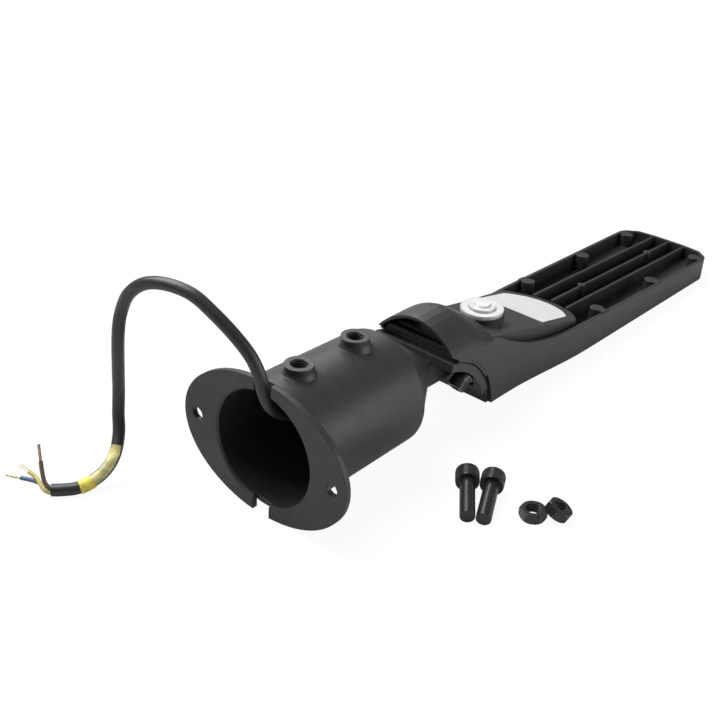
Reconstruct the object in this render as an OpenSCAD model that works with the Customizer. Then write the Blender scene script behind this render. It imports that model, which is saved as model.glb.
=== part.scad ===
// Pole or wall mounted LED area light, all sizes in millimetres.
// +X runs along the pole socket towards the tip of the head, +Z is up, and the
// origin is the middle of the wall flange's rear face.

/* [Pole socket] */
// Outside diameter of the pole that the socket slides over
pole_d = 60; // [56:0.5:64]
// Radial clearance between the pole and the socket
pole_gap = 0.5; // [0.3:0.1:0.8]
// Depth of the socket
socket_depth = 78; // [70:1:80]
// Socket wall at the mouth
wall_mouth = 2.7; // [2.2:0.1:4]
// Socket wall at the closed end, thinner because the casting has draft
wall_end = 1.6; // [1.4:0.1:2.4]
// Chamfer inside the mouth
mouth_chamfer = 1.1; // [0.5:0.1:1.4]

/* [Wall flange] */
// Width of the oval flange
flange_w = 108; // [104:1:124]
// Height of the oval flange
flange_h = 75; // [73:1:90]
// Thickness of the flange
flange_t = 3; // [2:0.5:5]
// Distance between the two wall screw holes
flange_pitch = 89.6; // [84:0.2:92]
// Diameter of the wall screw holes
flange_hole_d = 7; // [5:0.5:8]
// Width of the cable notches in the mouth, top and bottom
notch_w = 11; // [9:0.5:14]
// How far the upper notch runs along the socket wall
notch_len = 8; // [7:0.5:9]

/* [Clamp screws] */
// Thread diameter of the pole clamp screws
clamp_d = 8; // [6:1:10]
// Clearance on the thread, taken off the screw's radius
clamp_gap = 0.15; // [0.1:0.05:0.3]
// Distance from the mouth to the first screw boss
boss_first = 24.5; // [23:0.5:27]
// Distance between the two screw bosses
boss_pitch = 40; // [30:1:44]
// Diameter of a screw boss
boss_d = 15; // [14:0.5:17]
// Height of a boss top above the socket axis
boss_top = 37.5; // [37:0.5:42]
// Length of a clamp screw below its head
clamp_len = 25; // [20:1:35]

/* [Tilt joint] */
// Distance from the flange to the tilt axis
tilt_x = 106; // [104:1:110]
// Distance of the tilt axis below the socket axis
tilt_drop = 33; // [31:0.5:34]
// Outside radius of the curved knuckle
knuckle_r = 46; // [45:0.5:47]
// Thickness of the knuckle shell
knuckle_t = 5; // [4:0.5:6]
// Width of the knuckle shell
knuckle_w = 53; // [50:0.5:53]
// Lower end of the knuckle shell, in degrees above the horizontal
knuckle_low = 20; // [18:1:24]
// Upper end of the knuckle shell, in degrees above the horizontal
knuckle_high = 80.5; // [78:0.5:84]
// Width of the neck between the socket and the knuckle
neck_w = 24; // [20:1:26]
// Gap between the knuckle and the cradle it turns in
joint_gap = 0.3; // [0.25:0.05:0.6]
// Tilt of the head, up or down from level
tilt_max = 12; // [6:1:12]
// Place of the lock screws round the knuckle, in degrees above the horizontal
lock_angle = 43; // [41:1:45]
// Distance between the two lock screws
lock_pitch = 38; // [36:1:39]
// Thread diameter of the lock screws
lock_d = 6; // [5:0.5:6]

/* [Head] */
// Distance from the flange to the tip of the head
tip_x = 411; // [380:1:450]
// Width of the head at its tip
tip_w = 67; // [64:1:72]
// Width of the head behind the driver cover
rear_w = 54; // [53.8:0.1:56]
// Width of the head where the open tray begins
tray_w = 64; // [62:1:68]
// Height of the underside below the socket axis
base_drop = 28; // [27:0.5:30]
// Wall thickness of the head casting
head_wall = 2.2; // [1.8:0.1:2.6]
// Thickness of the tray floor above the light engine
floor_t = 2.6; // [2.2:0.1:3.4]
// Depth of the light engine recess in the underside
recess_h = 4; // [3.6:0.1:5]
// Height of the hood's crest above the socket axis
hood_top = 30; // [29:0.5:33]
// Height of the side walls under the hood, above the socket axis
hood_spring = 13.5; // [12.5:0.5:15]
// Thickness of the three long ribs
rib_t = 1.6; // [1.2:0.1:2.4]
// Distance between neighbouring ribs
rib_pitch = 12; // [10:0.5:14]

/* [Driver cover and photocell] */
// Thickness of the cover
cover_t = 2.5; // [2:0.1:3]
// Slope of the cover's top, rise per millimetre towards the hood
cover_slope = 0.21; // [0.19:0.01:0.23]
// Gap between the cover's skirt and the head's side walls
cover_side_gap = 2.2; // [1.5:0.1:3]
// Thickness of the cover gasket
gasket_t = 1.2; // [0.8:0.1:2]
// Diameter of the photocell lens
lens_d = 25; // [22:0.5:27]
// Distance from the flange to the photocell
lens_x = 175.5; // [173:0.5:178]

/* [Light engine] */
// Number of LED packages along the board
led_rows = 12; // [6:1:14]
// Number of LED packages across the board
led_columns = 3; // [1:1:4]
// Size of one LED package
led_size = 3.5; // [2.8:0.1:5]
// Thickness of the LED board
board_t = 1.2; // [0.8:0.1:1.6]

/* [Supply cable] */
// Outside diameter of the cable
cable_d = 6.4; // [6:0.1:7]
// Diameter of one insulated core
core_d = 2.2; // [1.8:0.1:2.4]

/* [Hidden] */
$fn = 96;
eps = 0.01;

// socket
bore_r = pole_d / 2 + pole_gap;
tube_r0 = bore_r + wall_mouth;
tube_r1 = bore_r + wall_end;
tube_end = socket_depth + 6;
grommet_r = 6;

// clamp screws
clamp_r = clamp_d / 2;
clamp_hole_r = clamp_r;
clamp_head_r = 0.76 * clamp_d;
nut_af = 1.55 * clamp_d;
nut_h = 0.65 * clamp_d;
// the second nut leans on the rim of the first
nut_lean = asin((nut_h + 0.4) / nut_af);
nut_heading = -52;

// tilt joint
tilt_z = -tilt_drop;
knuckle_in = knuckle_r - knuckle_t;
cradle_r = knuckle_r + joint_gap;
cradle_t = 4;
edge_r = knuckle_r + 0.6;
edge_low_r = knuckle_r + 2.5;
edge_step = 33;
lock_r = lock_d / 2;
lock_slot_r = lock_r + 0.5;
washer_t = 1.2;
spring_t = 1.5;
lock_head_h = lock_d;
// the flat washers run on the hollow side of the knuckle shell
washer_seat = sqrt(pow(knuckle_in, 2) - pow(lock_d, 2)) - 0.3;
neck_low = -7.6;
neck_start = 112;
mark_step = 6;
mark_angle = 47;
mark_r = 0.6;

// head
base_z = -base_drop;
floor_z = base_z + recess_h + floor_t;
box_floor = base_z + 2.5;
rear_x = tilt_x + 2;
flare_from = 170;
flare_to = 250;
tip_r = 11;
tip_bulge = 4;
lip_x = 150;
ledge_z = -18.5;
arch_r = 31.5;
arch_x = 222;
arch_front = arch_x + arch_r;
box_rear = tilt_x + knuckle_r - 1;
skirt_rear = tilt_x + knuckle_r + 3;
tongue_gap = 0.3;
breather_x = 244;
cover_z = -5;
cover_ref = 235;
boss_r = 4;
boss_in = 6.6;
boss_x = [265.5, 334, tip_x - 15];
mid_x = [289, 377];
hood_t = 1.8;
hood_x = tilt_x + 8;

// light engine
recess_x0 = 262;
recess_x1 = tip_x - 5;
engine_in = head_wall + 0.6;
board_in = 2.2;
seal_w = 1.8;
pad_t = 0.4;
optic_screw_r = 1.5;

// table that the light lies on: it touches the flange beside its notch and the underside of the tip
flange_low = flange_h / 2 * sqrt(1 - pow(notch_w / flange_w, 2));
table_angle = atan((flange_low - base_drop) / (tip_x - flange_t));

function smooth(s) = let (t = min(1, max(0, s))) t * t * (3 - 2 * t);
// half width of the head's outline at a station along it
function half_w(x) = x < flare_to
    ? rear_w / 2 + (tray_w - rear_w) / 2 * smooth((x - flare_from) / (flare_to - flare_from))
    : tray_w / 2 + (tip_w - tray_w) / 2 * (x - flare_to) / (tip_x - flare_to);
// upper edge of the side walls: station, height
wall_curve = [[rear_x, hood_spring], [lip_x, hood_spring + 0.5], [lip_x + 5, hood_spring - 0.8],
    [160, hood_spring - 3], [167, 6.8], [175, 3], [186, -1.3], [194, -3.4], [202, -5], [210, -6.1],
    [218, -6.8], [240, -7.6], [450, -14.9]];
function wall_top(x) = lookup(x, wall_curve);
// fall of the hood's crest towards its lip: station, drop
crest_drop = [[hood_x, 0.5], [118, 0.1], [124, 0], [132, 0], [135, 0.3], [137, 0.9], [140, 2.3], [143, 4.2],
    [146, 6.2], [lip_x, 8.1]];
function crest(x) = hood_top - lookup(x, crest_drop);
// height of the cover's top face
function cover_top(x) = cover_z + cover_slope * (cover_ref - x);
function cover_under(x) = cover_top(x) - cover_t;
// height of the cradle's shell at a radius
function cradle_z(x, r) = tilt_z + sqrt(pow(r, 2) - pow(x - tilt_x, 2));
// the cover's rear edge starts as soon as it clears the top of the cradle
cover_rear = tilt_x + 16 + len([for (x = [tilt_x + 16 : lip_x - 6])
    if (cradle_z(x, cradle_r + cradle_t) + tongue_gap > cover_under(x)) x]);
sill_x = cover_rear - 3;

// ---------------------------------------------------------------- helpers
module ring(r_out, r_in, h) {
    difference() {
        cylinder(r = r_out, h = h);
        translate([0, 0, -1]) cylinder(r = r_in, h = h + 2);
    }
}

module along_x(x, y = 0, z = 0) {
    translate([x, y, z]) rotate([0, 90, 0]) children();
}

// turns a shape drawn in XY into one drawn in XZ and makes it w wide across Y
module side_slab(w) {
    translate([0, w / 2, 0]) rotate([90, 0, 0]) linear_extrude(w) children();
}

// places its children on the table, x and y from the flange, z up from the table
module on_table(x, y, z = 0) {
    translate([0, 0, -flange_low - flange_t * tan(table_angle)]) rotate([0, -table_angle, 0])
        translate([x, y, z]) children();
}

// radial frame of the tilt joint: +Z points outwards at the given angle
module round_knuckle(angle, y) {
    translate([tilt_x, y, tilt_z]) rotate([0, 90 - angle, 0]) children();
}

// part of a ring about the tilt axis, between two angles
module knuckle_arc(r_out, r_in, from, to, w) {
    translate([tilt_x, w / 2, tilt_z]) rotate([90, 0, 0]) rotate([0, 0, from])
        rotate_extrude(angle = to - from) translate([r_in, 0]) square([r_out - r_in, w]);
}

// slot through the knuckle shell for one lock screw
module lock_slot(y) {
    w = 2 * lock_slot_r;
    translate([0, y, 0])
        knuckle_arc(knuckle_r + 2, knuckle_in - 2, lock_angle - tilt_max, lock_angle + tilt_max, w);
    for (a = [-tilt_max, tilt_max])
        round_knuckle(lock_angle + a, y) translate([0, 0, knuckle_in - 2])
            cylinder(r = lock_slot_r + 0.06, h = knuckle_t + 4);
}

// outline of the head seen from above, drawn in by d on every side
module head_plan(d, from) {
    steps = 24;
    straight = tip_x - tip_r - tip_bulge;
    side = [for (i = [0 : steps]) let (x = from + (straight - from) * i / steps) [x, half_w(x) - d]];
    corner_y = half_w(straight) - tip_r;
    corner = [for (a = [75 : -15 : 30]) [straight + (tip_r - d) * cos(a), corner_y + (tip_r - d) * sin(a)]];
    front = [for (i = [3 : -1 : 1]) let (y = corner_y * i / 3 + 2)
        [tip_x - d - tip_bulge * pow(y / (tip_w / 2), 2), y]];
    half = concat(side, corner, front);
    n = len(half);
    polygon(concat(half, [for (i = [n - 1 : -1 : 0]) [half[i][0], -half[i][1]]]));
}

// outline of the driver box seen from above: straight sides and a round front
module box_plan(d, from) {
    steps = 10;
    to = arch_x + 8;
    side = [for (i = [0 : steps]) let (x = from + (to - from) * i / steps) [x, half_w(x) - head_wall - d]];
    r = arch_r - d + 2.2;
    bow = [for (a = [60 : -10 : -60]) [arch_x + r * cos(a), r * sin(a)]];
    n = len(side);
    polygon(concat(side, bow, [for (i = [n - 1 : -1 : 0]) [side[i][0], -side[i][1]]]));
}

// ---------------------------------------------------------------- arm
module flange_plan() {
    polygon([for (a = [0 : 5 : 355]) [flange_h / 2 * cos(a), flange_w / 2 * sin(a)]]);
}

module clamp_boss(x) {
    h = boss_top - tube_r1 + 4;
    translate([x, 0, boss_top - h]) {
        cylinder(r = boss_d / 2, h = h);
        cylinder(r1 = boss_d / 2 + 3, r2 = boss_d / 2, h = h - 3);
    }
}

module neck() {
    root = -tube_r1 + 9;
    side_slab(neck_w) difference() {
        polygon([[neck_start - 6, 8], [neck_start + 1, 8.2], [tilt_x + knuckle_in + 2, 8.2],
            [tilt_x + knuckle_in + 2, neck_low], [neck_start - 1, neck_low]]);
        translate([tilt_x, tilt_z]) difference() {
            square(200, center = true);
            circle(r = knuckle_in + 1);
        }
    }
    hull() {
        along_x(tube_end - 1) cylinder(r = tube_r1 - 0.4, h = 1, $fn = 32);
        along_x(tube_end + 3) cylinder(r = tube_r1 - 3, h = 1, $fn = 32);
        translate([neck_start, -neck_w / 2, neck_low]) cube([1, neck_w, 8.2 - neck_low]);
    }
}

module arm_casting() {
    color([0.16, 0.16, 0.17]) difference() {
        union() {
            along_x(0) linear_extrude(flange_t) flange_plan();
            along_x(0) cylinder(r1 = tube_r0, r2 = tube_r1, h = tube_end);
            for (i = [0, 1]) clamp_boss(boss_first + i * boss_pitch);
            neck();
            knuckle_arc(knuckle_r, knuckle_in, knuckle_low, knuckle_high, knuckle_w);
        }
        along_x(-1) cylinder(r = bore_r, h = socket_depth + 1);
        along_x(-eps) cylinder(r1 = bore_r + mouth_chamfer, r2 = bore_r, h = mouth_chamfer);
        // cable notches: the upper one runs into the socket wall, the lower one only through the flange
        translate([-1, -notch_w / 2, bore_r - 4]) cube([notch_len + 1, notch_w, flange_h]);
        translate([-1, -notch_w / 2, -bore_r + 4 - flange_h]) cube([flange_t + 1, notch_w, flange_h]);
        for (y = [-1, 1]) along_x(-1, y * flange_pitch / 2) cylinder(r = flange_hole_d / 2, h = flange_t + 2);
        for (i = [0, 1]) translate([boss_first + i * boss_pitch, 0, 0]) {
            cylinder(r = clamp_hole_r, h = boss_top + 1);
            translate([0, 0, boss_top - 0.6]) cylinder(r1 = clamp_hole_r, r2 = clamp_hole_r + 0.7, h = 0.7);
        }
        // cable way from the socket into the head
        along_x(socket_depth - 1, 0, 0) cylinder(r = grommet_r, h = neck_start);
        for (y = [-1, 1]) lock_slot(y * lock_pitch / 2);
    }
}

module cable_grommet() {
    color([0.1, 0.1, 0.1]) difference() {
        union() {
            along_x(socket_depth - 2.5) cylinder(r = grommet_r + 2.5, h = 2.5);
            along_x(socket_depth - eps) cylinder(r = grommet_r, h = 14);
        }
        along_x(socket_depth + 3) cylinder(r = cable_d / 2 - 0.2, h = 20);
    }
}

// ---------------------------------------------------------------- cable
// route of the cable from the grommet to its cut end
cable_route = [[75.4, 0, 0], [71, 0, 0], [65, 0, 0.3], [56, 0, 2], [47, 0, 5], [38, 0, 8.2], [28, 0, 10],
    [18.5, 0, 12], [10.6, 0, 16.5], [4.8, 0, 23], [1.3, 0.3, 31.4], [0, 1.8, 40.2], [-1.5, 6.2, 49],
    [-4, 14, 57.5], [-6.7, 24.5, 65.5], [-9.5, 36, 72], [-13, 49.5, 73.5], [-16, 61.5, 70.5], [-18, 71, 62.5],
    [-19, 76.5, 51], [-20, 78.5, 38], [-18, 82.7, 14.6], [-17.1, 84.4, 3.3], [-19, 83.2, -8.9],
    [-22.5, 79.2, -17.9], [-29.1, 74.5, -25], [-36.4, 72.8, -30.1], [-44.2, 73.6, -33.5],
    [-51.5, 76.1, -35.2], [-57.5, 80.1, -35.4], [-61.5, 83.8, -35.4]];
brown_route = [[-59.7, 82.1, -34], [-61.9, 84.1, -33.9], [-62.6, 87.2, -32], [-61.3, 90.6, -28.6],
    [-59.4, 94, -24.3]];
blue_route = [[-58.9, 83, -36.1], [-60.8, 85.1, -36.3], [-60.6, 89.3, -37.2], [-60.4, 94, -37.5],
    [-61.4, 99, -37.6], [-64.3, 105.6, -37.7]];
earth_route = [[-60.5, 81.2, -36.1], [-62.6, 83.3, -36.1], [-63.3, 87.3, -36], [-62, 92.5, -35.6],
    [-60.6, 98, -35.3], [-60.1, 104, -35.5]];

function unit(v) = v / norm(v);
// Catmull-Rom curve through the points p, with s samples a span
function curve_point(p, i, t) = let (
        a = p[max(0, i - 1)], b = p[i], c = p[i + 1], d = p[min(len(p) - 1, i + 2)])
    0.5 * (2 * b + (c - a) * t + (2 * a - 5 * b + 4 * c - d) * t * t + (3 * b - a - 3 * c + d) * t * t * t);
function curve(p, s) = concat([for (i = [0 : len(p) - 2], k = [0 : s - 1]) curve_point(p, i, k / s)],
    [p[len(p) - 1]]);
function tangent(q, i) = unit(q[min(len(q) - 1, i + 1)] - q[max(0, i - 1)]);
// point beside the curve, at radius r and angle a round it
function beside(q, i, r, a) = let (t = tangent(q, i), u = unit(cross(t, [0.27, -0.46, 0.85])), v = cross(t, u))
    q[i] + r * (cos(a) * u + sin(a) * v);
function ring_points(q, i, r, sides) = [for (k = [0 : sides - 1]) beside(q, i, r, 360 * k / sides)];
cable_curve = curve(cable_route, 2);

// solid tube of radius r along the points q, from index i0 to i1
module sweep(q, r, sides, i0, i1) {
    n = i1 - i0 + 1;
    rings = [for (i = [i0 : i1]) for (p = ring_points(q, i, r, sides)) p];
    skin = [for (i = [0 : n - 2], k = [0 : sides - 1]) let (a = i * sides + k, b = i * sides + (k + 1) % sides)
        for (t = [[a, b + sides, b], [a, a + sides, b + sides]]) t];
    ends = [[for (k = [0 : sides - 1]) k], [for (k = [sides - 1 : -1 : 0]) (n - 1) * sides + k]];
    polyhedron(points = rings, faces = concat(skin, ends), convexity = 6);
}

// open sleeve round the same points, r_in inside and r_out outside
module sleeve(q, r_out, r_in, sides, i0, i1) {
    n = i1 - i0 + 1;
    m = n * sides;
    outer = [for (i = [i0 : i1]) for (p = ring_points(q, i, r_out, sides)) p];
    inner = [for (i = [i0 : i1]) for (p = ring_points(q, i, r_in, sides)) p];
    skin = [for (i = [0 : n - 2], k = [0 : sides - 1]) let (a = i * sides + k, b = i * sides + (k + 1) % sides)
        for (t = [[a, b + sides, b], [a, a + sides, b + sides], [m + a, m + b, m + b + sides],
            [m + a, m + b + sides, m + a + sides]]) t];
    ends = [for (k = [0 : sides - 1]) let (l = (k + 1) % sides, e = (n - 1) * sides)
        for (t = [[k, m + l, m + k], [k, l, m + l], [e + k, m + e + l, e + l],
            [e + k, m + e + k, m + e + l]]) t];
    polyhedron(points = concat(outer, inner), faces = concat(skin, ends), convexity = 6);
}

// strip lying on the same points from angle a0 to a1, r_in inside and r_out outside
module strip(q, r_out, r_in, a0, a1, i0, i1) {
    steps = 4;
    n = i1 - i0 + 1;
    m = 2 * steps + 2;
    points = [for (i = [i0 : i1]) for (k = [0 : m - 1])
        let (j = k <= steps ? k : m - 1 - k, r = k <= steps ? r_out : r_in)
            beside(q, i, r, a0 + (a1 - a0) * j / steps)];
    skin = [for (i = [0 : n - 2], k = [0 : m - 1]) let (a = i * m + k, b = i * m + (k + 1) % m)
        for (t = [[a, b + m, b], [a, a + m, b + m]]) t];
    ends = [for (k = [0 : steps - 1]) let (l = m - 1 - k, e = (n - 1) * m)
        for (t = [[k, k + 1, l - 1], [k, l - 1, l], [e + k, e + l - 1, e + k + 1],
            [e + k, e + l, e + l - 1]]) t];
    polyhedron(points = points, faces = concat(skin, ends), convexity = 6);
}

module supply_cable() {
    color([0.17, 0.17, 0.17]) sweep(cable_curve, cable_d / 2, 10, 0, len(cable_curve) - 1);
}

module core(route) {
    q = curve(route, 2);
    sweep(q, core_d / 2, 8, 0, len(q) - 1);
}

module core_brown() {
    color([0.42, 0.22, 0.12]) core(brown_route);
}

module core_blue() {
    color([0.1, 0.25, 0.6]) core(blue_route);
}

module core_earth() {
    color([0.55, 0.7, 0.1]) core(earth_route);
}

// bare stranded copper at the end of each core
module core_tip(route, len) {
    n = len(route);
    q = curve(route, 2);
    e = route[n - 1];
    d = tangent(q, len(q) - 1);
    sweep([e, e + d * len], core_d * 0.36, 8, 0, 1);
}

module core_tips() {
    color([0.75, 0.45, 0.25]) {
        core_tip(brown_route, 9);
        core_tip(blue_route, 9);
        core_tip(earth_route, 9);
    }
}

// yellow paper tag near the cable's end: a tail along the cable and a band wound round it
module cable_tag() {
    color([0.9, 0.8, 0.2]) {
        sleeve(cable_curve, cable_d / 2 + 0.7, cable_d / 2 + 0.04, 10, 54, 56);
        strip(cable_curve, cable_d / 2 + 0.5, cable_d / 2 + 0.15, -138, -42, 49, 55);
    }
}

// ---------------------------------------------------------------- loose clamp screws and nuts
module cap_screw(d, head_r, head_h, len) {
    difference() {
        translate([0, 0, -head_h]) cylinder(r = head_r, h = head_h);
        translate([0, 0, -head_h - 1]) cylinder(r = d * 0.433, h = head_h * 0.55 + 1, $fn = 6);
    }
    translate([0, 0, -eps]) cylinder(r = d / 2, h = len);
}

// a screw lying on the table on the rim of its head and the end of its thread
module lying_screw(x, y, heading) {
    r = clamp_r - clamp_gap;
    lean = atan((clamp_head_r - r) / clamp_len);
    on_table(x, y, r * cos(lean) + 0.05) rotate([0, 0, heading]) rotate([0, 90 + lean, 0])
        translate([0, 0, -clamp_len]) cap_screw(2 * r, clamp_head_r, clamp_d, clamp_len);
}

module clamp_screws() {
    color([0.12, 0.12, 0.12]) {
        lying_screw(64.6, -77.5, 217);
        lying_screw(68.4, -84.4, 207);
    }
}

module hex_nut() {
    difference() {
        intersection() {
            cylinder(r = nut_af / sqrt(3), h = nut_h, $fn = 6);
            cylinder(r1 = nut_af / 2 + 0.1, r2 = nut_af / 2 + 5, h = nut_h);
            cylinder(r1 = nut_af / 2 + 5, r2 = nut_af / 2 + 0.1, h = nut_h);
        }
        translate([0, 0, -1]) cylinder(r = clamp_r - clamp_gap / 2, h = nut_h + 2);
    }
}

module clamp_nuts() {
    x = 91.2;
    y = -98.2;
    reach = nut_af / 2 * (1 + cos(nut_lean)) - 0.6;
    rise = (nut_af / 2 + 0.1) * sin(nut_lean) + 0.05;
    color([0.14, 0.14, 0.14]) {
        on_table(x, y, 0.05) hex_nut();
        on_table(x + reach * cos(nut_heading), y + reach * sin(nut_heading), rise)
            rotate([0, 0, nut_heading]) rotate([0, nut_lean, 0]) hex_nut();
    }
}

// ---------------------------------------------------------------- head casting
// one arched section of the hood, closed below; x is where it stands, at where it is measured
function hood_section(x, at, d, drop) = let (w = half_w(at) - d, h = crest(at) - d - hood_spring)
    concat([[x, w, hood_spring - drop]],
        [for (a = [0 : 10 : 180]) [x, w * cos(a), hood_spring + h * pow(sin(a), 1.7)]],
        [[x, -w, hood_spring - drop]]);

module hood_solid(d, drop, over) {
    n = len(crest_drop);
    m = len(hood_section(hood_x, hood_x, d, drop));
    points = [for (i = [0 : n - 1])
        let (at = crest_drop[i][0], x = at + (i == 0 ? -over : i == n - 1 ? over : 0))
            for (p = hood_section(x, at, d, drop)) p];
    skin = [for (i = [0 : n - 2], k = [0 : m - 1]) let (a = i * m + k, b = i * m + (k + 1) % m)
        for (t = [[a, b + m, b], [a, a + m, b + m]]) t];
    ends = [[for (k = [0 : m - 1]) k], [for (k = [m - 1 : -1 : 0]) (n - 1) * m + k]];
    polyhedron(points = points, faces = concat(skin, ends), convexity = 6);
}

// side view of everything below the side walls' upper edge
module wall_profile() {
    top = [for (p = wall_curve) if (p[0] < tip_x) p];
    polygon(concat([[rear_x, base_z]], top, [[tip_x + 1, wall_top(tip_x + 1)], [tip_x + 1, base_z]]));
}

module walls_and_floor() {
    intersection() {
        translate([0, 0, base_z]) linear_extrude(80) head_plan(0, rear_x);
        side_slab(tip_w + 4) wall_profile();
    }
}

// space that the knuckle and the neck turn in
module joint_space() {
    w = tip_w + 4;
    knuckle_arc(edge_r, 1, edge_step, 178, w);
    knuckle_arc(edge_low_r, 1, -90, edge_step, w);
}

module ribs() {
    z0 = floor_z - eps;
    difference() {
        for (i = [-1, 0, 1]) intersection() {
            translate([arch_front - 18, i * rib_pitch - rib_t / 2, z0])
                cube([tip_x - arch_front + 16, rib_t, 30]);
            side_slab(tip_w) polygon([[200, base_z], [200, wall_top(200) - 1], [tip_x, wall_top(tip_x) - 0.4],
                [tip_x, base_z]]);
        }
        translate([0, 0, base_z]) linear_extrude(60) box_plan(cover_side_gap - 0.4, 100);
    }
}

// screw boss that stands on the tray floor against the side wall
module tray_boss(x, y, r) {
    z0 = base_z + recess_h - eps;
    intersection() {
        union() {
            translate([x, y, z0]) cylinder(r1 = r + 0.6, r2 = r, h = 30);
            if (y != 0) translate([x - r * 0.7, y > 0 ? y : y - r - 2, z0]) cube([r * 1.4, r + 2, 30]);
        }
        side_slab(tip_w)
            polygon([[200, base_z], [200, wall_top(200)], [tip_x, wall_top(tip_x)], [tip_x, base_z]]);
    }
}

module boss_places() {
    for (x = boss_x, y = [-1, 1]) translate([x, y * (half_w(x) - boss_in), 0]) children();
    for (x = mid_x) translate([x, 0, 0]) children();
}

module cradle() {
    intersection() {
        knuckle_arc(cradle_r + cradle_t, cradle_r, 2, 74, rear_w - 2 * head_wall + 0.2);
        translate([0, -rear_w, base_z]) cube([300, 2 * rear_w, 100]);
    }
    // sill that closes the gap under the cover's rear edge
    side_slab(rear_w - 10) polygon([[sill_x, cradle_z(sill_x, cradle_r + 0.5)], [sill_x, cover_under(sill_x) - 0.2],
        [sill_x + 8, cover_under(sill_x + 8) - 0.2], [sill_x + 8, cradle_z(sill_x + 8, cradle_r + 0.5)]]);
    // threaded pads for the lock screws, clear of the cover above them
    difference() {
        for (y = [-1, 1]) round_knuckle(lock_angle, y * lock_pitch / 2)
            translate([0, 0, cradle_r + 1]) cylinder(r = lock_d, h = 9);
        side_slab(rear_w) polygon([[cover_rear - 1, cover_under(cover_rear - 1) - tongue_gap],
            [skirt_rear, cover_under(skirt_rear) - tongue_gap], [skirt_rear, hood_top], [cover_rear - 1, hood_top]]);
    }
}

module seat_ledge() {
    difference() {
        translate([0, 0, base_z + 1]) linear_extrude(ledge_z - base_z - 1) box_plan(-0.5, box_rear);
        translate([0, 0, base_z]) linear_extrude(60) box_plan(4.6, skirt_rear + 2.4);
    }
    for (p = cover_screw_at) translate([p[0], p[1], base_z + 1]) cylinder(r = 4.2, h = ledge_z - base_z - 1);
}

module head_casting() {
    color([0.17, 0.17, 0.18]) difference() {
        union() {
            difference() {
                walls_and_floor();
                // open tray in front of the driver box
                difference() {
                    translate([0, 0, floor_z]) linear_extrude(60) head_plan(head_wall, rear_x - 1);
                    translate([0, 0, base_z]) linear_extrude(ledge_z - base_z) box_plan(-0.4, 100);
                }
                // driver box
                translate([0, 0, box_floor]) linear_extrude(80) box_plan(0.8, 100);
            }
            hood();
            cradle();
            seat_ledge();
            ribs();
            for (x = boss_x, y = [-1, 1]) tray_boss(x, y * (half_w(x) - boss_in), boss_r);
            for (x = mid_x) tray_boss(x, 0, 2.2);
            driver_posts();
        }
        difference() {
            joint_space();
            cradle();
        }
        knuckle_arc(cradle_r, 1, -90, 178, tip_w);
        round_lock_holes();
        light_recess();
        cover_screw_holes();
        breather_hole();
        boss_places() translate([0, 0, base_z]) cylinder(r = optic_screw_r - 0.2, h = recess_h + 7);
        marks();
        rear_notch();
    }
}

// the hood: an arched shell that falls to a lip over the driver cover
module hood() {
    difference() {
        hood_solid(0, 6, 0);
        hood_solid(hood_t, 8, 1);
    }
}

// the lower rear corners of the hood are cut back above the knuckle
module rear_notch() {
    side_slab(tip_w) polygon([[tilt_x - 10, -30], [tilt_x - 2, 21.5], [tilt_x + 1, 20], [tilt_x + 12, 13.5],
        [tilt_x + 12.2, -30]]);
}

module round_lock_holes() {
    for (y = [-1, 1]) round_knuckle(lock_angle, y * lock_pitch / 2)
        translate([0, 0, cradle_r - 1]) cylinder(r = lock_r, h = 9);
}

module light_recess() {
    translate([0, 0, base_z - 1]) linear_extrude(recess_h + 1) intersection() {
        head_plan(engine_in, 200);
        translate([recess_x0, -50]) square([200, 100]);
    }
}

// degree marks along the edge of the side walls
module marks() {
    for (i = [-2 : 2]) translate([tilt_x, 0, tilt_z]) rotate([0, -mark_angle - i * mark_step, 0])
        translate([edge_r + 1.3, 0, 0]) rotate([90, 0, 0]) for (z = [-1, 1])
            translate([0, 0, z * rear_w / 2]) cylinder(r = mark_r, h = 1.2, center = true);
}

// ---------------------------------------------------------------- driver cover
// the cover is held from below, by screws through the floor of the driver box
cover_screw_at = [for (p = [[tilt_x + knuckle_r + 11, 17.3], [236, 21.8]], s = [1, -1]) [p[0], s * p[1]]];
cover_screw_r = 1.5;

module cover_screw_holes() {
    for (p = cover_screw_at) translate([p[0], p[1], base_z - 1]) {
        cylinder(r = cover_screw_r + 0.2, h = 20);
        cylinder(r = 3.1, h = 3.4);
    }
}

module breather_hole() {
    translate([breather_x, 0, base_z - 1]) {
        cylinder(r = 3.5, h = 6);
        cylinder(r = 5.2, h = 1.6);
    }
}

module cover_profile(d) {
    polygon([[cover_rear, cover_top(cover_rear) - d], [arch_front + 2, cover_top(arch_front + 2) - d],
        [arch_front + 2, -40], [cover_rear, -40]]);
}

module cover_shell(inset, from, d) {
    intersection() {
        translate([0, 0, -40]) linear_extrude(80) box_plan(cover_side_gap + inset, from);
        side_slab(tip_w) cover_profile(d);
    }
}

module lens_boss(r, top) {
    translate([lens_x, 0, 0]) cylinder(r = r, h = top);
}

// height of the lens seat above the cover, measured in the middle of the seat
lens_rise = 5.105;
lens_seat = cover_top(lens_x) + lens_rise;
lens_t = 2;

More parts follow.
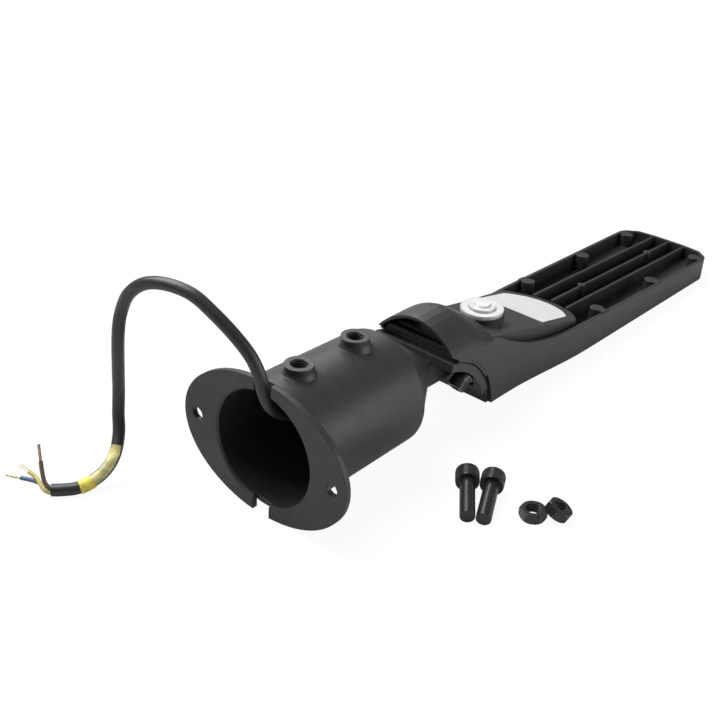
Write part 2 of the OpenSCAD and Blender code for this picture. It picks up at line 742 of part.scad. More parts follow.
module driver_cover() {
    low = ledge_z + gasket_t;
    color([0.18, 0.18, 0.19]) difference() {
        union() {
            difference() {
                cover_shell(0, cover_rear, 0);
                cover_shell(2.2, skirt_rear + 2.2, cover_t);
                translate([cover_rear - 1, -40, -60]) cube([skirt_rear - cover_rear + 1, 80, 80 + 0]);
                translate([100, -50, -60]) cube([200, 100, 60 + low]);
            }
            // tongue under the hood's lip
            intersection() {
                difference() {
                    cover_shell(0.6, cover_rear, 0);
                    cover_shell(-5, cover_rear - 5, cover_t);
                }
                translate([cover_rear, -18, -20]) cube([skirt_rear - cover_rear + 1, 36, 60]);
            }
            difference() {
                lens_boss(lens_d / 2 + 0.6, lens_seat);
                translate([0, 0, -1]) lens_boss(lens_d / 2 - 1.6, lens_seat - 1.5);
                translate([lens_x, 0, lens_seat - 1.2]) ring(10, 8, 2);
            }
            for (p = cover_screw_at) translate([p[0], p[1], low])
                cylinder(r = 3.2, h = cover_top(p[0]) - low - 1.5);
        }
        for (p = cover_screw_at) translate([p[0], p[1], low - 1]) cylinder(r = cover_screw_r, h = 10);
        lens_boss(5.2, 40);
    }
}

module cover_gasket() {
    color([0.2, 0.2, 0.2]) difference() {
        union() {
            translate([0, 0, ledge_z]) linear_extrude(gasket_t) difference() {
                box_plan(cover_side_gap + 0.1, skirt_rear);
                box_plan(cover_side_gap + 2.1, skirt_rear + 2);
            }
            for (p = cover_screw_at) translate([p[0], p[1], ledge_z]) cylinder(r = 3.9, h = gasket_t);
        }
        for (p = cover_screw_at) translate([p[0], p[1], ledge_z - 1])
            cylinder(r = cover_screw_r + 0.2, h = gasket_t + 2);
    }
}

module cover_screws() {
    color([0.5, 0.5, 0.52]) for (p = cover_screw_at) translate([p[0], p[1], base_z + 0.4]) {
        cylinder(r = 2.8, h = 2);
        cylinder(r = cover_screw_r - 0.05, h = ledge_z + gasket_t + 8 - base_z - 0.4);
    }
}

module photocell_lens() {
    color([0.92, 0.94, 0.96, 0.6]) translate([lens_x, 0, lens_seat]) {
        difference() {
            union() {
                cylinder(r = lens_d / 2, h = lens_t);
                cylinder(r1 = 8.6, r2 = 7.4, h = lens_t + 1.4);
                translate([0, 0, lens_t + 1.4 - eps]) cylinder(r1 = 5.4, r2 = 4.2, h = 1.1);
            }
            translate([0, 0, -eps]) cylinder(r = 4.8, h = lens_t);
        }
        difference() {
            translate([0, 0, -10]) cylinder(r = 5, h = 10 + eps);
            translate([0, 0, -11]) cylinder(r = 4, h = 12);
        }
    }
}

module photocell_seal() {
    color([0.15, 0.15, 0.15]) translate([lens_x, 0, lens_seat - 1.2]) ring(9.95, 8.05, 1.17);
}

module photocell_board() {
    color([0.05, 0.3, 0.15]) translate([lens_x, 0, lens_seat - 11.5]) cylinder(r = 8, h = 1.5);
}

module photocell_sensor() {
    color([0.75, 0.55, 0.2]) translate([lens_x, 0, lens_seat - 10]) {
        cylinder(r = 2.6, h = 2.5);
        cylinder(r = 1.5, h = 4.2);
    }
}

// blank rating label, laid on the cover's sloping top
module blank_label() {
    color([0.93, 0.93, 0.93]) intersection() {
        translate([0, 0, -40]) linear_extrude(80) intersection() {
            translate([arch_x, 0]) circle(r = arch_r - 6);
            translate([210, -20.5]) square([60, 43.5]);
        }
        side_slab(tip_w) polygon([for (p = [[200, 0], [260, 0], [260, 0.25], [200, 0.25]])
            [p[0], cover_top(p[0]) + p[1]]]);
    }
}

// ---------------------------------------------------------------- inside the driver box
module driver_posts() {
    for (p = driver_screw_at) translate([p[0], p[1], box_floor - eps]) difference() {
        cylinder(r = 2.6, h = 2.2);
        translate([0, 0, 0.4]) cylinder(r = 1.05, h = 5);
    }
}

driver_screw_at = [[168.5, 0], [229.5, 0]];

module led_driver() {
    color([0.85, 0.85, 0.87]) difference() {
        union() {
            translate([172, -13, box_floor + 2.3]) cube([54, 26, 15]);
            translate([165, -6, box_floor + 2.3]) cube([10, 12, 1]);
            translate([223, -6, box_floor + 2.3]) cube([10, 12, 1]);
        }
        for (p = driver_screw_at) translate([p[0], p[1], box_floor]) cylinder(r = 1.5, h = 10);
    }
}

module driver_screws() {
    color([0.7, 0.7, 0.72]) for (p = driver_screw_at) translate([p[0], p[1], box_floor + 3.4]) {
        cylinder(r = 2.4, h = 1.4);
        translate([0, 0, -2.6]) cylinder(r = 1, h = 2.7);
    }
}

module terminal_block() {
    color([0.9, 0.9, 0.86]) difference() {
        translate([184, 13.4, box_floor + 0.02]) cube([24, 5.6, 9]);
        for (i = [-1, 0, 1]) translate([196 + i * 7, 13, box_floor + 3])
            rotate([-90, 0, 0]) cylinder(r = 1.4, h = 13);
        for (i = [-1, 0, 1]) translate([196 + i * 7, 16.2, box_floor + 6]) cylinder(r = 1.7, h = 10);
    }
}

module earth_screw() {
    color([0.8, 0.7, 0.3]) translate([196, -16.6, box_floor + 0.02]) {
        cylinder(r = 3.4, h = 0.8);
        cylinder(r = 2.7, h = 2.4);
    }
}

// ---------------------------------------------------------------- lock screws
module on_lock() {
    for (y = [-1, 1]) round_knuckle(lock_angle, y * lock_pitch / 2) children();
}

module lock_screws() {
    under = washer_seat - washer_t - spring_t;
    color([0.13, 0.13, 0.13]) on_lock() translate([0, 0, under])
        cap_screw(2 * lock_r - 0.1, 0.8 * lock_d, lock_head_h, knuckle_r - under + 7);
}

module spring_washers() {
    color([0.55, 0.55, 0.57]) on_lock() translate([0, 0, washer_seat - washer_t - spring_t])
        ring(0.85 * lock_d, lock_r + 0.1, spring_t);
}

module flat_washers() {
    color([0.6, 0.6, 0.62]) on_lock() translate([0, 0, washer_seat - washer_t])
        ring(lock_d, lock_r + 0.1, washer_t);
}

// ---------------------------------------------------------------- light engine
module engine_plan(d) {
    intersection() {
        head_plan(engine_in + d, 200);
        translate([recess_x0 + d, -50]) square([200, 100]);
    }
}

module breather() {
    color([0.1, 0.1, 0.1]) translate([breather_x, 0, base_z]) {
        translate([0, 0, 0.05]) cylinder(r = 5, h = 0.5);
        cylinder(r = 3.45, h = 4);
    }
}

module thermal_pad() {
    color([0.75, 0.75, 0.8]) translate([0, 0, base_z + recess_h - pad_t]) linear_extrude(pad_t) difference() {
        engine_plan(board_in);
        boss_places() circle(r = 2.6);
    }
}

module led_board() {
    color([0.9, 0.9, 0.88]) translate([0, 0, base_z + recess_h - pad_t - board_t]) linear_extrude(board_t)
        difference() {
            engine_plan(board_in);
            boss_places() circle(r = 2.4);
        }
}

module led_packages() {
    x0 = recess_x0 + 12;
    dx = (recess_x1 - 12 - x0) / (led_rows - 1);
    dy = led_columns > 1 ? 36 / (led_columns - 1) : 0;
    h = 0.8;
    z = base_z + recess_h - pad_t - board_t - h / 2;
    color([0.95, 0.85, 0.35]) for (i = [0 : led_rows - 1], j = [0 : led_columns - 1])
        if (!(j * 2 == led_columns - 1 && min([for (m = mid_x) abs(m - x0 - i * dx)]) < 5))
            translate([x0 + i * dx, (j - (led_columns - 1) / 2) * dy, z])
                cube([led_size, led_size, h], center = true);
}

module optic_plate() {
    low = base_z + 0.2;
    top = base_z + recess_h - pad_t - board_t;
    color([0.85, 0.9, 0.95, 0.5]) difference() {
        translate([0, 0, low]) linear_extrude(top - low) engine_plan(0.3);
        translate([0, 0, top - 1.1]) linear_extrude(2) difference() {
            engine_plan(board_in + seal_w + 0.4);
            boss_places() circle(r = 4.2);
        }
        boss_places() translate([0, 0, low - 1]) {
            cylinder(r = optic_screw_r + 0.2, h = 6);
            cylinder(r = 3, h = 2.3);
        }
    }
}

module optic_gasket() {
    color([0.25, 0.25, 0.25]) translate([0, 0, base_z + recess_h - pad_t - board_t])
        linear_extrude(board_t + pad_t) difference() {
            engine_plan(0.3);
            engine_plan(board_in - 0.1);
        }
}

module optic_screws() {
    color([0.7, 0.7, 0.72]) boss_places() translate([0, 0, base_z + 0.3]) {
        cylinder(r = 2.8, h = 1.2);
        cylinder(r = optic_screw_r - 0.25, h = recess_h + 5.5);
    }
}

// ---------------------------------------------------------------- model
arm_casting();
cable_grommet();
supply_cable();
core_brown();
core_blue();
core_earth();
core_tips();
cable_tag();
clamp_screws();
clamp_nuts();
head_casting();
driver_cover();
cover_gasket();
cover_screws();
photocell_lens();
photocell_seal();
photocell_board();
photocell_sensor();
blank_label();
led_driver();
driver_screws();
terminal_block();
earth_screw();
lock_screws();
spring_washers();
flat_washers();
breather();
thermal_pad();
led_board();
led_packages();
optic_plate();
optic_gasket();
optic_screws();
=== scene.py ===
from math import asin, atan, cos, pi, radians, sin, sqrt, tan

import bpy
from mathutils import Matrix, Vector


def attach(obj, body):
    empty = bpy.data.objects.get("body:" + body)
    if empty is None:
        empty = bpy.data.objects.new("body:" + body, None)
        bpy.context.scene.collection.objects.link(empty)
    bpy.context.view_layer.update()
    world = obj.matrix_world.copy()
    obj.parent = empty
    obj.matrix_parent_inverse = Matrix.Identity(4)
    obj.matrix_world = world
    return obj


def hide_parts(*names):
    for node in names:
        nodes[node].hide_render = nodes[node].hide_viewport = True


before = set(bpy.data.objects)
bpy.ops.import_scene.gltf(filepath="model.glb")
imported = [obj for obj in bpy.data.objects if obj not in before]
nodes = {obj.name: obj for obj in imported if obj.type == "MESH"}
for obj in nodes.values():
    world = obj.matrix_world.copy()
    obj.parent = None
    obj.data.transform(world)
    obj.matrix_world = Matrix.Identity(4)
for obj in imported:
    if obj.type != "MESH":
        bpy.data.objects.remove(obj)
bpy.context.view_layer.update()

# Names in capitals that part.scad has too hold the same values as there.
MM = 0.001
WHITE = (1, 1, 1, 1)
scene = bpy.context.scene


def in_scene(name, data):
    o = bpy.data.objects.new(name, data)
    scene.collection.objects.link(o)
    return o


# ------------------------------------------------------------------ camera
# solved from the photograph: directions, place, and focal length in pixels of its frame
AZ, EL, ROLL = radians(-50.5), radians(29.55), radians(3.51)
CAMERA_AT = (-319.0, -319.3, 307.3)
FOCAL_PX, PHOTO_PX = 1147.1, 718
FILM_WIDTH = 36

back = Vector((sin(AZ) * cos(EL), -cos(AZ) * cos(EL), sin(EL)))
level = Vector((cos(AZ), sin(AZ), 0))
top = back.cross(level)
right = level * cos(ROLL) + top * sin(ROLL)
up = -level * sin(ROLL) + top * cos(ROLL)
cam = in_scene("camera", bpy.data.cameras.new("camera"))
cam.matrix_world = (Matrix.Translation(Vector(CAMERA_AT) * MM)
                    @ Matrix((right, up, back)).transposed().to_4x4())
cam.data.sensor_width = FILM_WIDTH
cam.data.lens = FILM_WIDTH * FOCAL_PX / PHOTO_PX
cam.data.clip_start, cam.data.clip_end = 0.01, 20
scene.camera = cam


# ------------------------------------------------------------------ node helpers
def put(node, **values):
    """Set a node's attributes or, by their names with _ for a space, its inputs."""
    for key, value in values.items():
        if hasattr(node, key):
            setattr(node, key, value)
        else:
            node.inputs[key.replace("_", " ")].default_value = value
    return node


def add(tree, kind, **values):
    return put(tree.nodes.new(kind), **values)


def calculate(tree, kind, operation, *values):
    """Math node on sockets or plain values; gives its output."""
    node = add(tree, kind, operation=operation)
    for socket, value in zip(node.inputs, values):
        if isinstance(value, bpy.types.NodeSocket):
            tree.links.new(value, socket)
        else:
            socket.default_value = value
    return next(o for o in node.outputs if o.enabled)


def new_material(name):
    m = bpy.data.materials.new(name)
    m.use_nodes = True
    return m, m.node_tree, m.node_tree.nodes["Principled BSDF"]


def empty_tree(owner):
    """Node tree of a material or world, cleared."""
    owner.use_nodes = True
    owner.node_tree.nodes.clear()
    return owner.node_tree


def mix_shaders(tree, share, first, second, output):
    """Show first, and second in its place by its share, through a new output node."""
    mix = add(tree, "ShaderNodeMixShader")
    for socket, source in zip(mix.inputs, (share, first.outputs[0], second.outputs[0])):
        tree.links.new(source, socket)
    tree.links.new(mix.outputs[0], add(tree, output).inputs[0])


# ------------------------------------------------------------------ materials
NOISE_LOW, NOISE_HIGH = 0.3, 0.7  # the range that noise mostly stays in
GLOSS_WEAR = 0.04  # how far roughness strays
GLOSS_FINENESS = 4  # how much finer the gloss varies than the colour
GRAIN_DEPTH = 0.0003


def surface(name, color, rough=0.5, metal=0.0, coat=0.0, grain=0.0, grain_scale=900,
            mottle=0.06, mottle_scale=30, edge=0.0):
    """Principled surface with uneven colour and gloss, a fine grain and softened edges."""
    m, tree, principled = new_material(name)
    put(principled, Metallic=metal, Coat_Weight=coat, Coat_Roughness=0.15)
    where = add(tree, "ShaderNodeTexCoord").outputs["Object"]

    def noise(scale, detail):
        n = add(tree, "ShaderNodeTexNoise", Scale=scale, Detail=detail)
        tree.links.new(where, n.inputs["Vector"])
        return n.outputs["Fac"]

    def around(middle, reach, source):
        """Spread noise over middle - reach to middle + reach."""
        n = add(tree, "ShaderNodeMapRange", From_Min=NOISE_LOW, From_Max=NOISE_HIGH,
                To_Min=middle - reach, To_Max=middle + reach)
        tree.links.new(source, n.inputs["Value"])
        return n.outputs["Result"]

    tint = add(tree, "ShaderNodeMix", data_type="RGBA", blend_type="MULTIPLY", Factor=1,
               A=(*color, 1))
    tree.links.new(around(1, mottle, noise(mottle_scale, detail=4)), tint.inputs["B"])
    tree.links.new(tint.outputs["Result"], principled.inputs["Base Color"])
    gloss = noise(mottle_scale * GLOSS_FINENESS, detail=3)
    tree.links.new(around(rough, GLOSS_WEAR, gloss), principled.inputs["Roughness"])
    normal = None
    if edge:
        normal = add(tree, "ShaderNodeBevel", samples=6, Radius=edge).outputs["Normal"]
    if grain:
        bump = add(tree, "ShaderNodeBump", Strength=grain, Distance=GRAIN_DEPTH)
        tree.links.new(noise(grain_scale, detail=2), bump.inputs["Height"])
        if normal:
            tree.links.new(normal, bump.inputs["Normal"])
        normal = bump.outputs["Normal"]
    if normal:
        tree.links.new(normal, principled.inputs["Normal"])
    return m


def clear(name, color, rough, transmission):
    m, _, principled = new_material(name)
    put(principled, Base_Color=(*color, 1), Roughness=rough, Transmission_Weight=transmission,
        IOR=1.49)
    return m


LENS_X, LENS_D = 175.5, 25.0
# colour of the lens from its middle to its rim, with a ring of painted shade at each of its two
# steps;
# places are shares of its radius
LENS_RIM = (0.8, 0.81, 0.82, 1)
LENS_SHADE_STOPS = ((0.32, 1.0), (0.36, 0.5), (0.41, 1.0), (0.59, 1.0), (0.63, 0.45), (0.68, 1.0),
              (0.93, 1.0))


def ringed(material):
    """Colour a material by the distance from the middle of the lens, with painted shade in rings at
    its steps.
    """
    tree = material.node_tree
    where = add(tree, "ShaderNodeTexCoord").outputs["Object"]
    centred = calculate(tree, "ShaderNodeVectorMath", "SUBTRACT", where, (LENS_X * MM, 0, 0))
    flat = calculate(tree, "ShaderNodeVectorMath", "MULTIPLY", centred, (1, 1, 0))
    radius = calculate(tree, "ShaderNodeVectorMath", "LENGTH", flat)
    rings = add(tree, "ShaderNodeValToRGB")
    tree.links.new(calculate(tree, "ShaderNodeMath", "MULTIPLY", radius, 2 / (LENS_D * MM)),
                   rings.inputs["Fac"])
    stops = rings.color_ramp.elements
    stops[0].position, stops[0].color = 0.0, WHITE
    stops[1].position, stops[1].color = 1.0, LENS_RIM
    # the darker stops are painted shade at the lens's steps
    for place, grey in LENS_SHADE_STOPS:
        stops.new(place).color = (grey, grey, grey, 1)
    tree.links.new(rings.outputs["Color"],
                   tree.nodes["Principled BSDF"].inputs["Base Color"])
    return material


CASTING = surface("powder_coat", (0.023, 0.023, 0.0245), rough=0.47, grain=0.25,
                  grain_scale=1500, mottle=0.08, edge=0.0007)
RUBBER = surface("black_rubber", (0.02, 0.02, 0.021), rough=0.7, grain=0.2)
SHEATH = surface("cable_sheath", (0.022, 0.021, 0.022), rough=0.42, grain=0.12, grain_scale=1200)
BROWN = surface("core_brown_pvc", (0.13, 0.075, 0.055), rough=0.4)
BLUE = surface("core_blue_pvc", (0.055, 0.12, 0.23), rough=0.4)
EARTH = surface("core_earth_pvc", (0.42, 0.36, 0.09), rough=0.4)
COPPER = surface("tinned_copper", (0.62, 0.5, 0.34), rough=0.25, metal=0.95)
TAG = surface("yellow_tag", (0.8, 0.66, 0.1), rough=0.45, mottle=0.3, mottle_scale=220)
PALE_TAG = surface("pale_tag", (0.66, 0.6, 0.27), rough=0.35, mottle=0.55, mottle_scale=160)
OXIDE = surface("black_oxide_steel", (0.045, 0.045, 0.045), rough=0.27, metal=0.6, grain=0.08,
                mottle=0.2, edge=0.0003)
STEEL = surface("zinc_steel", (0.55, 0.55, 0.56), rough=0.3, metal=1.0, mottle=0.1)
DARK_STEEL = surface("dark_zinc_steel", (0.08, 0.08, 0.085), rough=0.32, metal=0.9, mottle=0.12)
LABEL = surface("label_film", (0.56, 0.565, 0.57), rough=0.4, mottle=0.03)
GREEN = surface("solder_mask", (0.02, 0.17, 0.07), rough=0.3)
SENSOR = surface("sensor_window", (0.65, 0.42, 0.1), rough=0.1, coat=0.6)
CASE = surface("driver_case", (0.7, 0.7, 0.72), rough=0.35, metal=0.9)
CREAM = surface("cream_nylon", (0.82, 0.81, 0.76), rough=0.45)
BRASS = surface("earth_brass", (0.75, 0.58, 0.25), rough=0.3, metal=1.0)
PLASTIC = surface("black_nylon", (0.025, 0.025, 0.026), rough=0.5, grain=0.1)
PAD = surface("thermal_silicone", (0.5, 0.5, 0.55), rough=0.8)
BOARD = surface("white_solder_mask", (0.82, 0.82, 0.8), rough=0.3)
PHOSPHOR = surface("led_phosphor", (0.9, 0.72, 0.18), rough=0.35, coat=0.3)
LENS = ringed(clear("clear_lens", (0.97, 0.97, 0.98), 0.07, 0.4))
OPTIC = clear("optic_plate", (0.95, 0.97, 0.98), 0.15, 0.9)

FINISH = {
    "arm_casting": CASTING, "head_casting": CASTING, "driver_cover": CASTING,
    "cable_grommet": RUBBER, "cover_gasket": RUBBER, "photocell_seal": RUBBER,
    "optic_gasket": RUBBER, "cover_screws": STEEL, "driver_screws": STEEL, "optic_screws": STEEL,
    "spring_washers": DARK_STEEL, "flat_washers": DARK_STEEL, "lock_screws": OXIDE,
    "clamp_screws": OXIDE, "clamp_nuts": OXIDE, "photocell_lens": LENS,
    "photocell_board": GREEN, "photocell_sensor": SENSOR, "blank_label": LABEL,
    "led_driver": CASE, "terminal_block": CREAM, "earth_screw": BRASS, "breather": PLASTIC,
    "thermal_pad": PAD, "led_board": BOARD, "led_packages": PHOSPHOR, "optic_plate": OPTIC,
}
# edges over these angles stay sharp
SHARP, ARM_SHARP, FILM_SHARP = radians(28), radians(40), radians(35)


def smooth(mesh, sharp):
    for poly in mesh.polygons:
        poly.use_smooth = True
    mesh.set_sharp_from_angle(angle=sharp)


for name, finish in FINISH.items():
    mesh = nodes[name].data
    mesh.materials.clear()
    mesh.materials.append(finish)
    smooth(mesh, ARM_SHARP if name == "arm_casting" else SHARP)


# ------------------------------------------------------------------ curves
def catmull(p, i, t):
    a, b, c, d = p[max(0, i - 1)], p[i], p[i + 1], p[min(len(p) - 1, i + 2)]
    return 0.5 * (2 * b + (c - a) * t + (2 * a - 5 * b + 4 * c - d) * t ** 2
                  + (3 * b - a - 3 * c + d) * t ** 3)


def smooth_route(route, per_span):
    p = [Vector(q) for q in route]
    return [catmull(p, i, k / per_span)
            for i in range(len(p) - 1) for k in range(per_span)] + [p[-1]]


def tube(name, paths, radius, material, body, resolution):
    """Round curve through each list of points."""
    curve = bpy.data.curves.new(name, "CURVE")
    curve.dimensions = "3D"
    curve.bevel_depth = radius * MM
    curve.bevel_resolution = resolution
    curve.use_fill_caps = True
    for points in paths:
        spline = curve.splines.new("POLY")
        spline.points.add(len(points) - 1)
        for knot, place in zip(spline.points, points):
            knot.co = (*(place * MM), 1)
        spline.use_smooth = True
    curve.materials.append(material)
    o = in_scene(name, curve)
    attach(o, body)
    return o


# ------------------------------------------------------------------ cable
CABLE_D, CORE_D = 6.4, 2.2
CABLE_ROUTE = [
    (75.4, 0, 0), (71, 0, 0), (65, 0, 0.3), (56, 0, 2), (47, 0, 5), (38, 0, 8.2), (28, 0, 10),
    (18.5, 0, 12), (10.6, 0, 16.5), (4.8, 0, 23), (1.3, 0.3, 31.4), (0, 1.8, 40.2),
    (-1.5, 6.2, 49), (-4, 14, 57.5), (-6.7, 24.5, 65.5), (-9.5, 36, 72), (-13, 49.5, 73.5),
    (-16, 61.5, 70.5), (-18, 71, 62.5), (-19, 76.5, 51), (-20, 78.5, 38), (-18, 82.7, 14.6),
    (-17.1, 84.4, 3.3), (-19, 83.2, -8.9), (-22.5, 79.2, -17.9), (-29.1, 74.5, -25),
    (-36.4, 72.8, -30.1), (-44.2, 73.6, -33.5), (-51.5, 76.1, -35.2), (-57.5, 80.1, -35.4),
    (-61.5, 83.8, -35.4)]
CORE_ROUTES = {
    "core_brown": [(-59.7, 82.1, -34), (-61.9, 84.1, -33.9), (-62.6, 87.2, -32),
                   (-61.3, 90.6, -28.6), (-59.4, 94, -24.3)],
    "core_blue": [(-58.9, 83, -36.1), (-60.8, 85.1, -36.3), (-60.6, 89.3, -37.2),
                  (-60.4, 94, -37.5), (-61.4, 99, -37.6), (-64.3, 105.6, -37.7)],
    "core_earth": [(-60.5, 81.2, -36.1), (-62.6, 83.3, -36.1), (-63.3, 87.3, -36),
                   (-62, 92.5, -35.6), (-60.6, 98, -35.3), (-60.1, 104, -35.5)]}
CORE_LOOKS = {"core_brown": BROWN, "core_blue": BLUE, "core_earth": EARTH}
CABLE_STEPS, CORE_STEPS = 8, 6  # points to a span of the route
# a bare end has six strands laid round a seventh, starting a little inside the insulation
STRANDS = 7
STRAND_R, STRAND_RING = 0.27, 0.5  # of a strand, and of the circle that six of them lie on
STRAND_STEPS, STRAND_TWIST = 18, 4.0  # points, and radians from end to end
TIP_LENGTH, TIP_INSIDE = 9.0, 0.5

cable_points = smooth_route(CABLE_ROUTE, CABLE_STEPS)
sheath = tube("cable_sheath", [cable_points], CABLE_D / 2, SHEATH, "arm", resolution=10)
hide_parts("supply_cable")
for name, route in CORE_ROUTES.items():
    core_points = smooth_route(route, CORE_STEPS)
    wire = tube(name + "_wire", [core_points], CORE_D / 2, CORE_LOOKS[name], "arm", resolution=8)
    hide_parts(name)
    end = core_points[-1]
    along = (end - core_points[-2]).normalized()
    side = along.orthogonal().normalized()
    across = along.cross(side)
    strands = []
    for k in range(STRANDS):
        ring = 0.0 if k == STRANDS - 1 else STRAND_RING
        strand = []
        for i in range(STRAND_STEPS + 1):
            s = i / STRAND_STEPS
            a = k * pi / 3 + s * STRAND_TWIST
            strand.append(end + along * (s * TIP_LENGTH - TIP_INSIDE)
                          + (side * cos(a) + across * sin(a)) * ring)
        strands.append(strand)
    tip = tube(name + "_strands", strands, STRAND_R, COPPER, "arm", resolution=2)
    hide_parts("core_tips")

# ------------------------------------------------------------------ cable tag
# a pale strip along the cable runs up to a brighter band that goes almost all round it
STRIP_FIRST, BAND_FIRST, BAND_LAST = 197, 216, 223  # points of the cable
STRIP_HALF, BAND_END = 0.85, 0.995 * pi  # angles from the side towards the camera
STRIP_T, BAND_T = 0.25, 0.3
TAG_GAP = 0.08
WRAP_COLUMNS = 24


def cable_frame(i):
    """A point of the cable and two directions across it, the first towards the camera."""
    points = cable_points
    along = (points[min(len(points) - 1, i + 1)] - points[max(0, i - 1)]).normalized()
    side = (back - back.project(along)).normalized()
    return points[i], side, along.cross(side)


def wrap(name, first, last, start, end, thick, material):
    """Film lying on the cable from point first to last and from angle start to end."""
    rows, columns = last - first, WRAP_COLUMNS
    width = columns + 1
    layer = (rows + 1) * width
    radius = CABLE_D / 2 + TAG_GAP
    verts = []
    for height in (0, thick):
        for i in range(first, last + 1):
            middle, side, across = cable_frame(i)
            for k in range(width):
                a = start + (end - start) * k / columns
                verts.append(middle + (side * cos(a) + across * sin(a)) * (radius + height))

    def number(outer, row, column):
        return outer * layer + row * width + column

    faces = []
    for i in range(rows):
        for k in range(columns):
            inner = [number(0, i, k), number(0, i, k + 1), number(0, i + 1, k + 1),
                     number(0, i + 1, k)]
            faces += [inner[::-1], [layer + q for q in inner]]
    for k in range(columns):
        faces.append([number(0, 0, k), number(0, 0, k + 1), number(1, 0, k + 1), number(1, 0, k)])
        faces.append([number(0, rows, k + 1), number(0, rows, k), number(1, rows, k),
                      number(1, rows, k + 1)])
    for i in range(rows):
        faces.append([number(0, i, 0), number(1, i, 0), number(1, i + 1, 0), number(0, i + 1, 0)])
        faces.append([number(0, i, columns), number(0, i + 1, columns),
                      number(1, i + 1, columns), number(1, i, columns)])
    mesh = bpy.data.meshes.new(name)
    mesh.from_pydata([tuple(v * MM) for v in verts], [], faces)
    mesh.update()
    smooth(mesh, FILM_SHARP)
    mesh.materials.append(material)
    o = in_scene(name, mesh)
    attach(o, "arm")
    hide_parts("cable_tag")
    return o


band = wrap("tag_band", BAND_FIRST, BAND_LAST, -pi, BAND_END, BAND_T, TAG)
strip = wrap("tag_strip", STRIP_FIRST, BAND_FIRST, -STRIP_HALF, STRIP_HALF, STRIP_T, PALE_TAG)

# ------------------------------------------------------------------ table
FLANGE_W, FLANGE_H, FLANGE_T, NOTCH_W = 108, 75, 3, 11
BASE_DROP, TIP_X = 28, 411
FLANGE_LOW = FLANGE_H / 2 * sqrt(1 - (NOTCH_W / FLANGE_W) ** 2)
TABLE_ANGLE = atan((FLANGE_LOW - BASE_DROP) / (TIP_X - FLANGE_T))
TABLE_DROP = FLANGE_LOW + FLANGE_T * tan(TABLE_ANGLE)
TABLE_GAP = 0.05  # between the table and what lies on it


def move(x, y, z):
    return Matrix.Translation((x, y, z))


def turn(angle, axis):
    return Matrix.Rotation(angle, 4, axis)


def on_table(x, y, z):
    """Spot on the table, as part.scad places it."""
    return move(0, 0, -TABLE_DROP) @ turn(-TABLE_ANGLE, "Y") @ move(x, y, z)


# ------------------------------------------------------------------ threads and knurls
CLAMP_D, CLAMP_LEN = 8.0, 25.0
PITCH = 1.25  # of an M8 thread
TURN_STEPS = 20
INNER_THREAD_R = CLAMP_D / 2 - 0.02
# radii of the ridges that stand for threads and knurls, and how many knurls go round a head
SCREW_RIDGE, NUT_RIDGE, BOSS_RIDGE = 0.3, 0.28, 0.26
CLAMP_KNURL_RIDGE, LOCK_KNURL_RIDGE = 0.17, 0.15
CLAMP_KNURLS, LOCK_KNURLS = 44, 34


def ridges(name, matrix, lines, radius, material, body):
    """Fine round ridges along lines given in the frame of matrix."""
    tube(name, [[matrix @ Vector(q) for q in line] for line in lines], radius, material, body,
         resolution=2)


def thread(r, z0, z1):
    count = int((z1 - z0) / PITCH * TURN_STEPS)
    return [[(r * cos(2 * pi * i / TURN_STEPS), r * sin(2 * pi * i / TURN_STEPS),
              z0 + PITCH * i / TURN_STEPS) for i in range(count + 1)]]


def knurl(r, z0, z1, count):
    angles = [2 * pi * k / count for k in range(count)]
    return [[(r * cos(a), r * sin(a), z0), (r * cos(a), r * sin(a), z1)] for a in angles]


CLAMP_HEAD_R = 0.76 * CLAMP_D
CLAMP_GAP = 0.15
SHANK_R = CLAMP_D / 2 - CLAMP_GAP
PLAIN_SHANK = 5.0  # from the head to the thread
LEAN = atan((CLAMP_HEAD_R - SHANK_R) / CLAMP_LEN)
CLAMP_SCREWS = ((64.6, -77.5, 217), (68.4, -84.4, 207))  # x, y and heading
for i, (x, y, heading) in enumerate(CLAMP_SCREWS, 1):
    place = (on_table(x, y, SHANK_R * cos(LEAN) + TABLE_GAP) @ turn(radians(heading), "Z")
             @ turn(radians(90) + LEAN, "Y") @ move(0, 0, -CLAMP_LEN))
    ridges(f"clamp_screw_thread_{i}", place,
           thread(SHANK_R - 0.18, PLAIN_SHANK, CLAMP_LEN - 0.6), SCREW_RIDGE, OXIDE, "arm")
    ridges(f"clamp_screw_knurl_{i}", place,
           knurl(CLAMP_HEAD_R, -CLAMP_D + 0.7, -1.0, CLAMP_KNURLS), CLAMP_KNURL_RIDGE, OXIDE, "arm")

# the second nut leans on the first
NUT_AF, NUT_H = 1.55 * CLAMP_D, 0.65 * CLAMP_D
NUT_X, NUT_Y = 91.2, -98.2
NUT_LEAN = asin((NUT_H + 0.4) / NUT_AF)
NUT_HEADING = radians(-52)
NUT_REACH = NUT_AF / 2 * (1 + cos(NUT_LEAN)) - 0.6
NUT_RISE = (NUT_AF / 2 + 0.1) * sin(NUT_LEAN) + TABLE_GAP
nut_places = (
    on_table(NUT_X, NUT_Y, TABLE_GAP),
    on_table(NUT_X + NUT_REACH * cos(NUT_HEADING), NUT_Y + NUT_REACH * sin(NUT_HEADING), NUT_RISE)
    @ turn(NUT_HEADING, "Z") @ turn(NUT_LEAN, "Y"))
for i, place in enumerate(nut_places, 1):
    ridges(f"clamp_nut_thread_{i}", place, thread(INNER_THREAD_R, 0.5, NUT_H - 0.4), NUT_RIDGE,
           OXIDE, "arm")

BOSS_FIRST, BOSS_PITCH = 24.5, 40
BOSS_THREAD_LOW, BOSS_THREAD_HIGH = 30.8, 36.6  # clear of the tube's bore and the boss's top
for i in (1, 2):
    ridges(f"boss_thread_{i}", move(BOSS_FIRST + (i - 1) * BOSS_PITCH, 0, 0),
           thread(INNER_THREAD_R, BOSS_THREAD_LOW, BOSS_THREAD_HIGH), BOSS_RIDGE, CASTING, "arm")

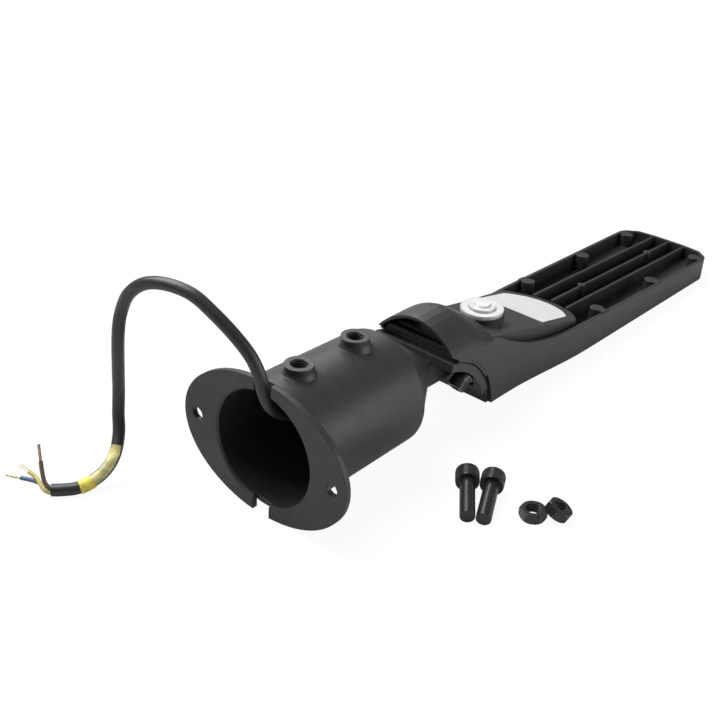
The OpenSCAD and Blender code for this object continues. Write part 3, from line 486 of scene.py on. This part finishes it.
TILT_X, TILT_Z = 106, -33
LOCK_D, LOCK_ANGLE, LOCK_PITCH = 6.0, 43, 38
LOCK_HEAD_R = 0.8 * LOCK_D
KNUCKLE_IN, WASHER_T, SPRING_T = 41.0, 1.2, 1.5
WASHER_SEAT = sqrt(KNUCKLE_IN ** 2 - LOCK_D ** 2) - 0.3
LOCK_UNDER = WASHER_SEAT - WASHER_T - SPRING_T
for i, y in enumerate((-LOCK_PITCH / 2, LOCK_PITCH / 2), 1):
    place = (move(TILT_X, y, TILT_Z) @ turn(radians(90 - LOCK_ANGLE), "Y")
             @ move(0, 0, LOCK_UNDER))
    ridges(f"lock_screw_knurl_{i}", place,
           knurl(LOCK_HEAD_R, -LOCK_D + 0.5, -0.8, LOCK_KNURLS), LOCK_KNURL_RIDGE, OXIDE, "head")

# ------------------------------------------------------------------ floor
# the floor shows white, as in the photograph, and lights the part as a grey one does
FLOOR_GREY, FLOOR_GLOW, FLOOR_HALF = 0.55, 1.11, 4
GLOW_SHARES = {"Is Camera Ray": 0.84, "Is Glossy Ray": 0.2, "Is Transmission Ray": 0.84}
floor_material = bpy.data.materials.new("floor")
tree = empty_tree(floor_material)
rays = add(tree, "ShaderNodeLightPath")
glow_share = 0.0
for ray, share in GLOW_SHARES.items():
    seen = calculate(tree, "ShaderNodeMath", "MULTIPLY", rays.outputs[ray], share)
    glow_share = calculate(tree, "ShaderNodeMath", "MAXIMUM", glow_share, seen)
mix_shaders(tree, glow_share,
            add(tree, "ShaderNodeBsdfDiffuse", Color=(FLOOR_GREY, FLOOR_GREY, FLOOR_GREY, 1)),
            add(tree, "ShaderNodeEmission", Color=WHITE, Strength=FLOOR_GLOW),
            "ShaderNodeOutputMaterial")
corners = [(x * FLOOR_HALF, y * FLOOR_HALF, 0) for x, y in ((-1, -1), (1, -1), (1, 1), (-1, 1))]
mesh = bpy.data.meshes.new("floor")
mesh.from_pydata(corners, [], [(0, 1, 2, 3)])
mesh.materials.append(floor_material)
floor = in_scene("floor", mesh)
floor.matrix_world = move(0, 0, -TABLE_DROP * MM) @ turn(-TABLE_ANGLE, "Y")

# ------------------------------------------------------------------ lights
AMBIENT, BACKDROP = 0.2, 0.94  # what the surroundings give the part, and how they look
world = bpy.data.worlds.new("world")
scene.world = world
tree = empty_tree(world)
mix_shaders(tree, add(tree, "ShaderNodeLightPath").outputs["Is Camera Ray"],
            add(tree, "ShaderNodeBackground", Color=WHITE, Strength=AMBIENT),
            add(tree, "ShaderNodeBackground", Color=WHITE, Strength=BACKDROP),
            "ShaderNodeOutputWorld")

# name, place, target, diameter and watts
LIGHTS = (("key", (-0.05, 0.75, 1.2), (0.12, 0, 0), 1.2, 30),
          ("rim", (0.85, 0.95, 0.9), (0.15, 0, 0), 0.8, 6),
          ("fill", (0.75, -1.35, 0.3), (0.25, 0, 0), 1.3, 13),
          ("front", (-1.2, 0.5, 1.0), (0.05, 0, 0), 0.7, 1.5))
for name, place, target, size, power in LIGHTS:
    light = bpy.data.lights.new(name, "AREA")
    light.shape = "DISK"
    light.size = size
    light.energy = power
    o = in_scene(name, light)
    o.location = place
    o.rotation_euler = (Vector(target) - Vector(place)).to_track_quat("-Z", "Y").to_euler()

scene.view_settings.view_transform = "Standard"
